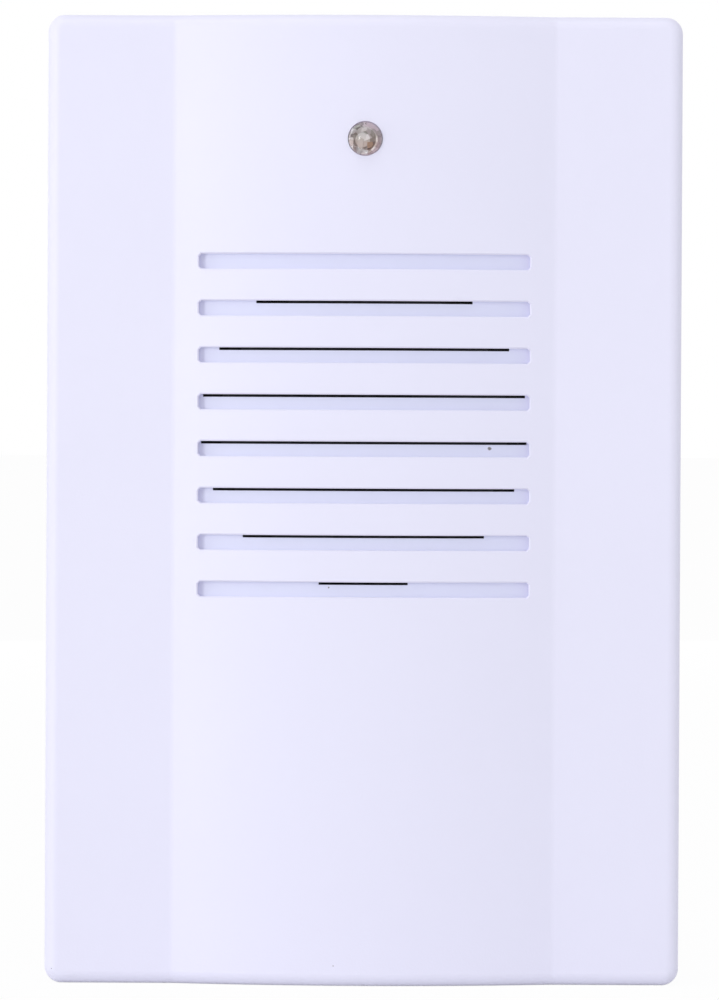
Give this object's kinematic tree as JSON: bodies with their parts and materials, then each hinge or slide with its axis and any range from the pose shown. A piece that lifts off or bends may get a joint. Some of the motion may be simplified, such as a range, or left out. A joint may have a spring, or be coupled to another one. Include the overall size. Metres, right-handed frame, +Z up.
{
  "type": "wireless doorbell chime",
  "caption": "Wall-hung indoor chime unit of a wireless doorbell: crowned white case with louvred sound slots, indicator light, loudspeaker, battery bay and door",
  "frame": {"origin": "centre of the flat back face, on the wall plane", "axes": "+Y points back into the wall, so the front faces -Y; +Z is up the case, +X is to the right as seen from the front"},
  "size_m": [0.095, 0.0335, 0.145],
  "materials": {
    "case_plastic": "fine satin texture, faintly lavender white",
    "door_plastic": "fine satin texture, faintly lavender white",
    "button_plastic": "satin grey",
    "switch_plastic": "satin black",
    "light_epoxy": "clear epoxy, polished",
    "screw_steel": "zinc plated",
    "contact_steel": "nickel plated",
    "board_laminate": "green solder mask",
    "chip_epoxy": "black epoxy",
    "can_metal": "drawn metal",
    "sleeve_plastic": "shrink sleeve",
    "basket_steel": "zinc plated pressing",
    "cone_paper": "black paper pulp",
    "edge_rubber": "coated cloth roll",
    "spider_cloth": "resin dipped cloth",
    "coil_copper": "enamelled copper on a former",
    "magnet_ferrite": "ground ferrite",
    "yoke_steel": "zinc plated",
    "tag_fibre": "fibre board",
    "red_insulation": "pvc",
    "black_insulation": "pvc",
    "cell_wrap": "printed sleeve on a steel can"
  },
  "bodies": {
    "case": {"front_cover": "case_plastic", "rear_cover": "case_plastic", "case_screws": "screw_steel", "battery_cell_1": "cell_wrap", "battery_cell_2": "cell_wrap", "battery_cell_3": "cell_wrap", "contact_negative": "contact_steel", "contact_positive": "contact_steel", "contact_bridge_right": "contact_steel", "contact_bridge_left": "contact_steel", "contact_springs": "contact_steel", "circuit_board": "board_laminate", "board_screws": "screw_steel", "sound_chip": "chip_epoxy", "crystal_can": "can_metal", "capacitors": "sleeve_plastic", "receiver_module": "board_laminate", "led_lens": "light_epoxy", "led_leads": "can_metal", "tact_switch": "switch_plastic", "slide_switch": "can_metal", "speaker_basket": "basket_steel", "speaker_surround": "edge_rubber", "speaker_spider": "spider_cloth", "top_plate": "yoke_steel", "magnet_ring": "magnet_ferrite", "magnet_yoke": "yoke_steel", "terminal_board": "tag_fibre", "speaker_screws": "screw_steel", "speaker_washers": "screw_steel", "speaker_wire_red": "red_insulation", "speaker_wire_black": "black_insulation", "battery_wire_red": "red_insulation", "battery_wire_black": "black_insulation"},
    "battery_door": {"battery_door": "door_plastic"},
    "melody_button": {"melody_button": "button_plastic", "tact_plunger": "switch_plastic"},
    "volume_knob": {"volume_knob": "switch_plastic"},
    "speaker_cone": {"speaker_cone": "cone_paper", "dust_cap": "cone_paper", "voice_coil": "coil_copper"}
  },
  "joints": [
    {"name": "battery_door_hinge", "type": "hinge", "parent": "case", "child": "battery_door", "pos_m": [0, -0.00105, -0.06525], "axis": [-1, 0, 0], "range_deg": [0, 95]},
    {"name": "melody_button_press", "type": "slide", "parent": "case", "child": "melody_button", "axis": [0, -1, 0], "range_m": [0, 0.0003], "stiffness_N_per_m": 300, "springref_m": -0.0005},
    {"name": "volume_knob_slide", "type": "slide", "parent": "case", "child": "volume_knob", "axis": [1, 0, 0], "range_m": [0, 0.002]},
    {"name": "speaker_cone_travel", "type": "slide", "parent": "case", "child": "speaker_cone", "axis": [0, -1, 0], "range_m": [-0.0005, 0.0005], "stiffness_N_per_m": 1500, "deforming": ["speaker_surround", "speaker_spider"]}
  ]
}
